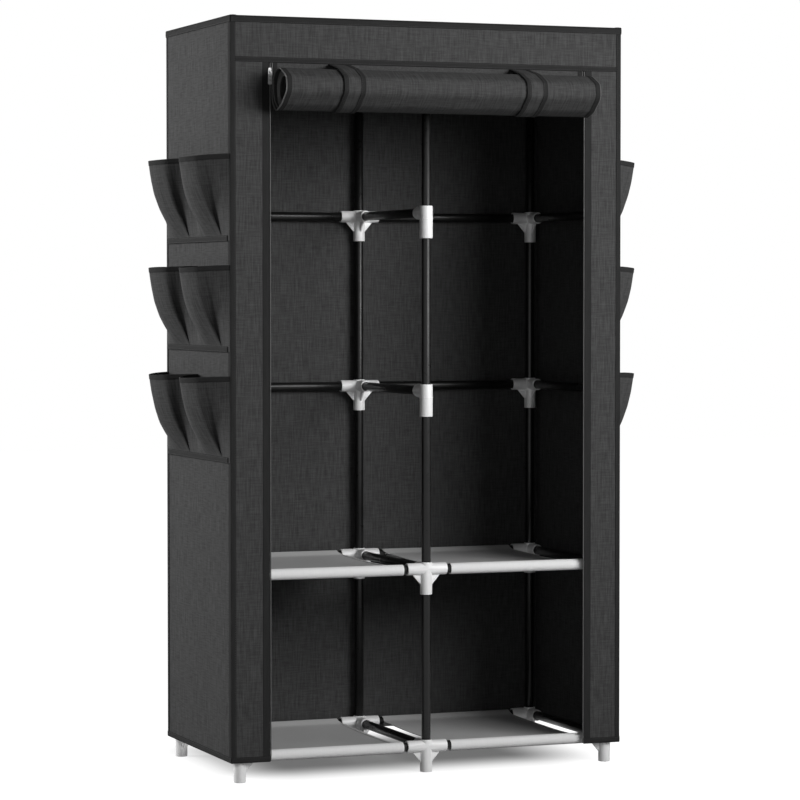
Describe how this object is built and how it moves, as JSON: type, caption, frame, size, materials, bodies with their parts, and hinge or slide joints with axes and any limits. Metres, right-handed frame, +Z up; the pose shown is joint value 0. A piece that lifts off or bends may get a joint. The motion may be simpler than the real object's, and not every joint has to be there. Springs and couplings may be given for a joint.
{
  "type": "portable fabric wardrobe",
  "caption": "Free-standing wardrobe of plugged steel tubes under a sewn cloth cover, with cloth shelves, side pockets and a zipped roll-up door.",
  "frame": {"origin": "on the floor, at the middle of the whole width and of the whole depth, the rolled door included", "axes": "+Z up, +X to the user's right when facing the door, +Y towards the back panel"},
  "size_m": [1.0836, 0.5582, 1.66],
  "materials": {
    "cover_cloth": "matte charcoal non-woven with a linen-look print",
    "shelf_cloth": "matte pale grey non-woven",
    "black_tube": "black semi-gloss powder coat",
    "white_plastic": "satin moulded white",
    "zip_metal": "worn nickel plating"
  },
  "bodies": {
    "frame_and_cover": {"front_tube_frame": "black_tube", "rear_tube_frame": "black_tube", "top_frame_and_hanging_rods": "black_tube", "depth_rail_left_bottom": "black_tube", "depth_rail_left_lower": "black_tube", "depth_rail_left_middle": "black_tube", "depth_rail_left_upper": "black_tube", "depth_rail_centre_bottom": "black_tube", "depth_rail_centre_lower": "black_tube", "depth_rail_centre_middle": "black_tube", "depth_rail_centre_upper": "black_tube", "depth_rail_right_bottom": "black_tube", "depth_rail_right_lower": "black_tube", "depth_rail_right_middle": "black_tube", "depth_rail_right_upper": "black_tube", "foot_front_left": "white_plastic", "foot_front_centre": "white_plastic", "foot_front_right": "white_plastic", "foot_rear_left": "white_plastic", "foot_rear_centre": "white_plastic", "foot_rear_right": "white_plastic", "connector_front_left_lower": "white_plastic", "connector_front_centre_lower": "white_plastic", "connector_front_right_lower": "white_plastic", "connector_rear_left_lower": "white_plastic", "connector_rear_centre_lower": "white_plastic", "connector_rear_right_lower": "white_plastic", "connector_front_left_middle": "white_plastic", "connector_front_centre_middle": "white_plastic", "connector_front_right_middle": "white_plastic", "connector_rear_left_middle": "white_plastic", "connector_rear_centre_middle": "white_plastic", "connector_rear_right_middle": "white_plastic", "connector_front_left_upper": "white_plastic", "connector_front_centre_upper": "white_plastic", "connector_front_right_upper": "white_plastic", "connector_rear_left_upper": "white_plastic", "connector_rear_centre_upper": "white_plastic", "connector_rear_right_upper": "white_plastic", "shelf_cloth_left_bottom": "shelf_cloth", "shelf_cloth_right_bottom": "shelf_cloth", "shelf_cloth_left_lower": "shelf_cloth", "shelf_cloth_right_lower": "shelf_cloth", "cover_back_and_top": "cover_cloth", "cover_left_side": "cover_cloth", "cover_right_side": "cover_cloth", "cover_front_frame": "cover_cloth", "side_pocket_left_1": "cover_cloth", "side_pocket_left_2": "cover_cloth", "side_pocket_left_3": "cover_cloth", "side_pocket_right_1": "cover_cloth", "side_pocket_right_2": "cover_cloth", "side_pocket_right_3": "cover_cloth", "door_strap_left": "cover_cloth", "door_strap_right": "cover_cloth"},
    "door_roll": {"rolled_door": "cover_cloth"},
    "slider_left": {"zip_slider_left": "zip_metal"},
    "pull_left": {"zip_pull_left": "zip_metal"},
    "slider_right": {"zip_slider_right": "zip_metal"},
    "pull_right": {"zip_pull_right": "zip_metal"}
  },
  "joints": [
    {"name": "door_drop", "type": "slide", "parent": "frame_and_cover", "child": "door_roll", "axis": [0, 0, -1], "range_m": [0, 1.4], "deforming": ["door_strap_left", "door_strap_right"]},
    {"name": "zip_left_slide", "type": "slide", "parent": "frame_and_cover", "child": "slider_left", "axis": [0, 0, -1], "range_m": [0, 1.45]},
    {"name": "pull_left_swing", "type": "hinge", "parent": "slider_left", "child": "pull_left", "pos_m": [-0.3745, -0.19035, 1.54104], "axis": [-1, 0, 0], "range_deg": [0, 150]},
    {"name": "zip_right_slide", "type": "slide", "parent": "frame_and_cover", "child": "slider_right", "axis": [0, 0, -1], "range_m": [0, 1.45]},
    {"name": "pull_right_swing", "type": "hinge", "parent": "slider_right", "child": "pull_right", "pos_m": [0.3745, -0.19035, 1.54104], "axis": [-1, 0, 0], "range_deg": [0, 150]}
  ]
}
